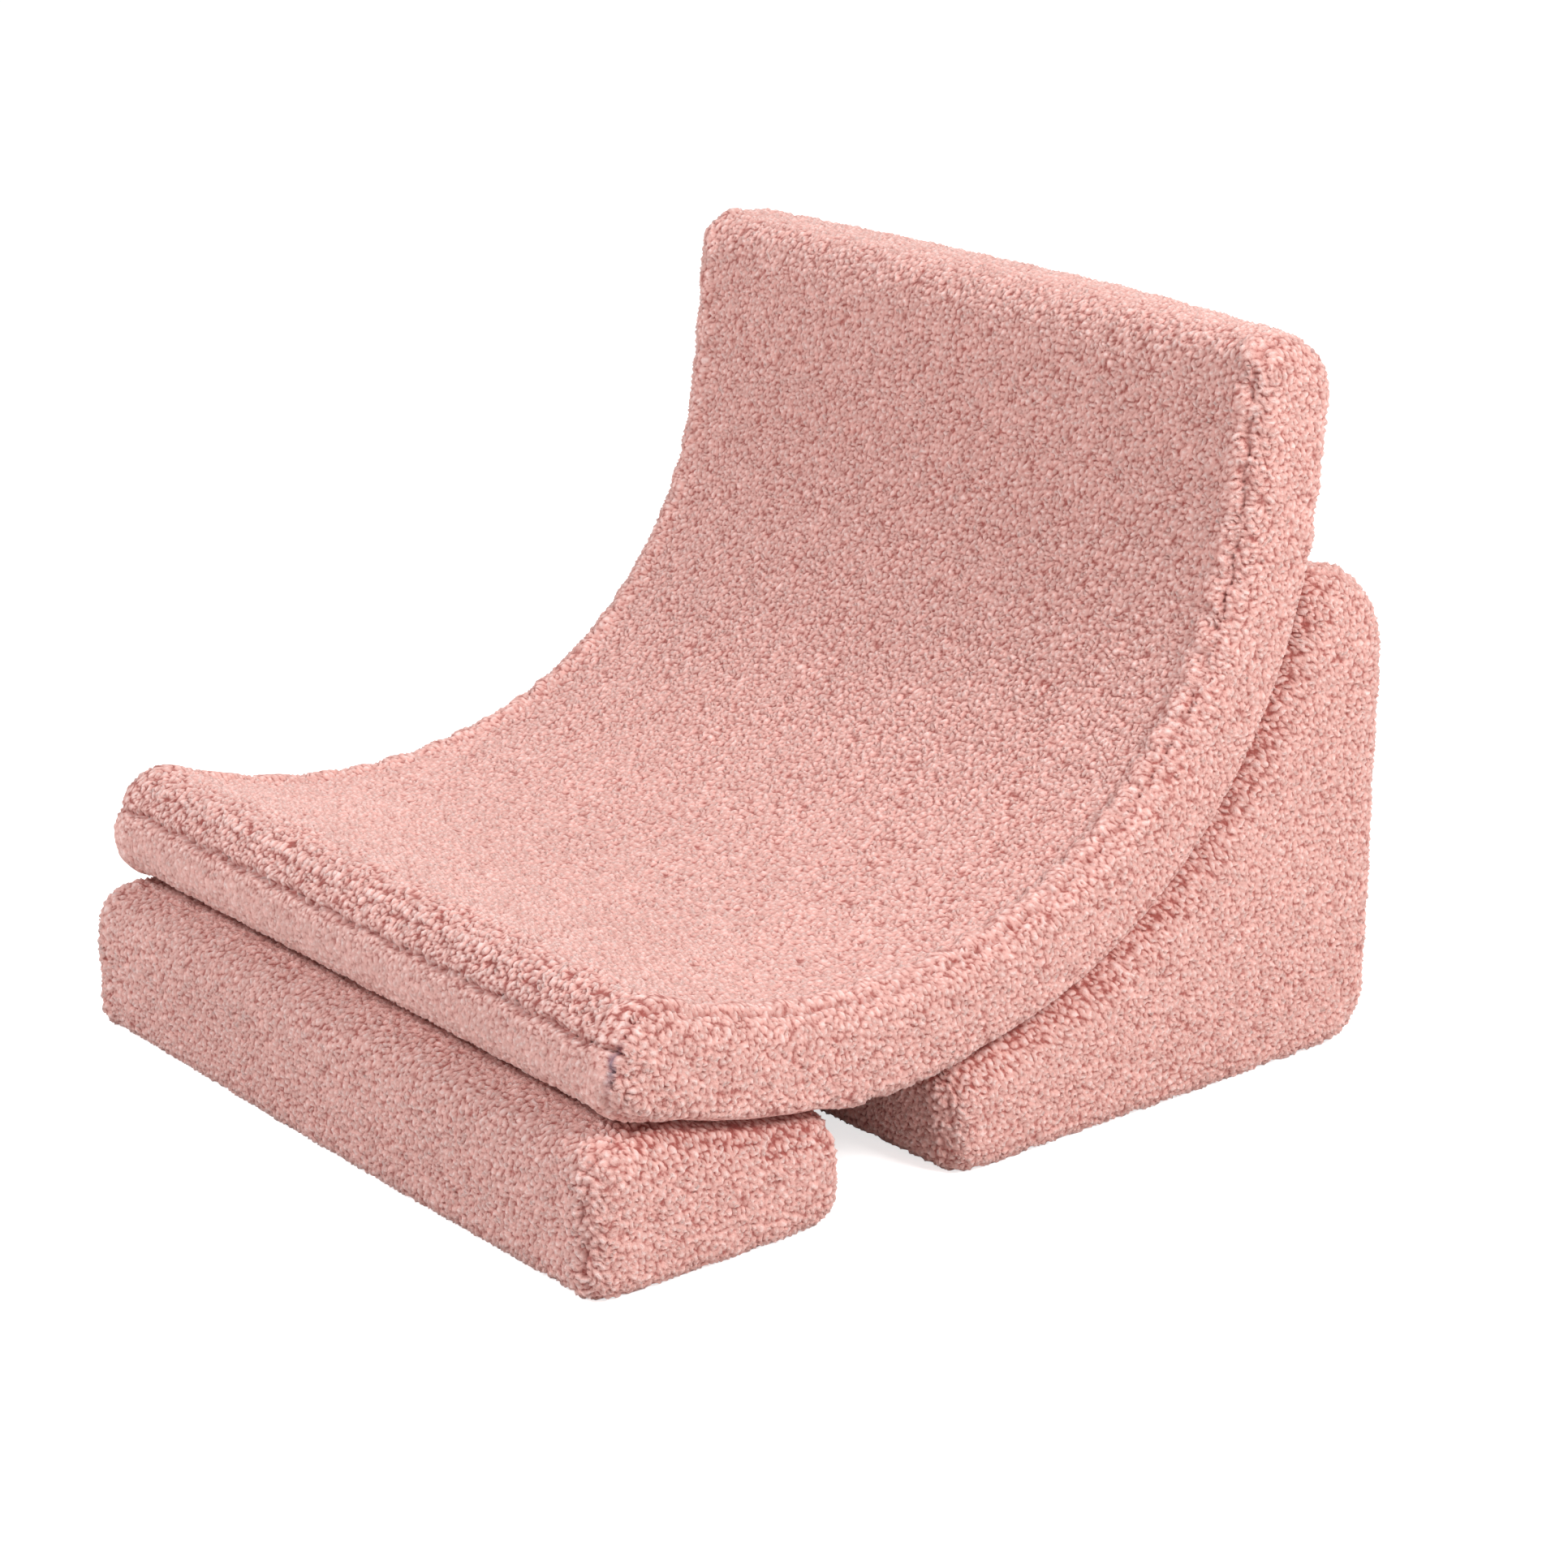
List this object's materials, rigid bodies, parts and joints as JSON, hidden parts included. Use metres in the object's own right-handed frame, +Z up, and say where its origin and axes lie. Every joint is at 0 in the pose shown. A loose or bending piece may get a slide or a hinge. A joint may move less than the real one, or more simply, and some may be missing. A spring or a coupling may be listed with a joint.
{
  "type": "kids armchair",
  "caption": "Low foam lounge chair for small children: a bent slab that is seat and back, laid on a front block and against a back wedge, all in zipped covers of curly pile.",
  "frame": {"origin": "on the floor under the middle of the chair", "axes": "+Z up; -Y towards the front, where the child's legs go; +X to the chair's right as seen from the front"},
  "size_m": [0.6, 0.688, 0.5204],
  "materials": {
    "pile_fabric": "dusty pink curly pile, matt with a soft sheen",
    "foam": "open-cell cut foam, off-white",
    "zip_tape": "woven polyester tape, dusty pink",
    "zip_coil": "nylon coil, dusty pink, slightly glossy",
    "zip_metal": "painted zinc alloy, dusty pink"
  },
  "bodies": {
    "back_wedge": {"back_wedge_foam_core": "foam", "back_wedge_wrap_panel": "pile_fabric", "back_wedge_base_panel": "pile_fabric", "back_wedge_side_panel_left": "pile_fabric", "back_wedge_side_panel_right": "pile_fabric", "back_wedge_zip_tape_lower": "zip_tape", "back_wedge_zip_tape_upper": "zip_tape", "back_wedge_zip_coil_lower": "zip_coil", "back_wedge_zip_coil_upper": "zip_coil", "back_wedge_zip_end_stops": "zip_metal"},
    "back_wedge_zip_slider": {"back_wedge_zip_slider": "zip_metal"},
    "seat": {"seat_foam_core": "foam", "seat_inner_panel": "pile_fabric", "seat_underside_panel": "pile_fabric", "seat_rear_panel": "pile_fabric", "seat_side_panel_left": "pile_fabric", "seat_side_panel_right": "pile_fabric", "seat_zip_tape_front": "zip_tape", "seat_zip_tape_rear": "zip_tape", "seat_zip_coil_front": "zip_coil", "seat_zip_coil_rear": "zip_coil", "seat_zip_end_stops": "zip_metal"},
    "seat_zip_slider": {"seat_zip_slider": "zip_metal"},
    "front_block": {"front_block_foam_core": "foam", "front_block_wrap_panel": "pile_fabric", "front_block_base_panel": "pile_fabric", "front_block_side_panel_left": "pile_fabric", "front_block_side_panel_right": "pile_fabric", "front_block_zip_tape_lower": "zip_tape", "front_block_zip_tape_upper": "zip_tape", "front_block_zip_coil_lower": "zip_coil", "front_block_zip_coil_upper": "zip_coil", "front_block_zip_end_stops": "zip_metal"},
    "front_block_zip_slider": {"front_block_zip_slider": "zip_metal"}
  },
  "joints": [
    {"name": "seat_lift", "type": "slide", "parent": "back_wedge", "child": "seat", "axis": [0, 0, 1], "range_m": [0, 0.3]},
    {"name": "front_block_pull", "type": "slide", "parent": "back_wedge", "child": "front_block", "axis": [0, -1, 0], "range_m": [0, 0.3]},
    {"name": "seat_zip", "type": "slide", "parent": "seat", "child": "seat_zip_slider", "axis": [-1, 0, 0], "range_m": [0, 0.469]},
    {"name": "front_block_zip", "type": "slide", "parent": "front_block", "child": "front_block_zip_slider", "axis": [-1, 0, 0], "range_m": [0, 0.469]},
    {"name": "back_wedge_zip", "type": "slide", "parent": "back_wedge", "child": "back_wedge_zip_slider", "axis": [-1, 0, 0], "range_m": [0, 0.469]}
  ]
}
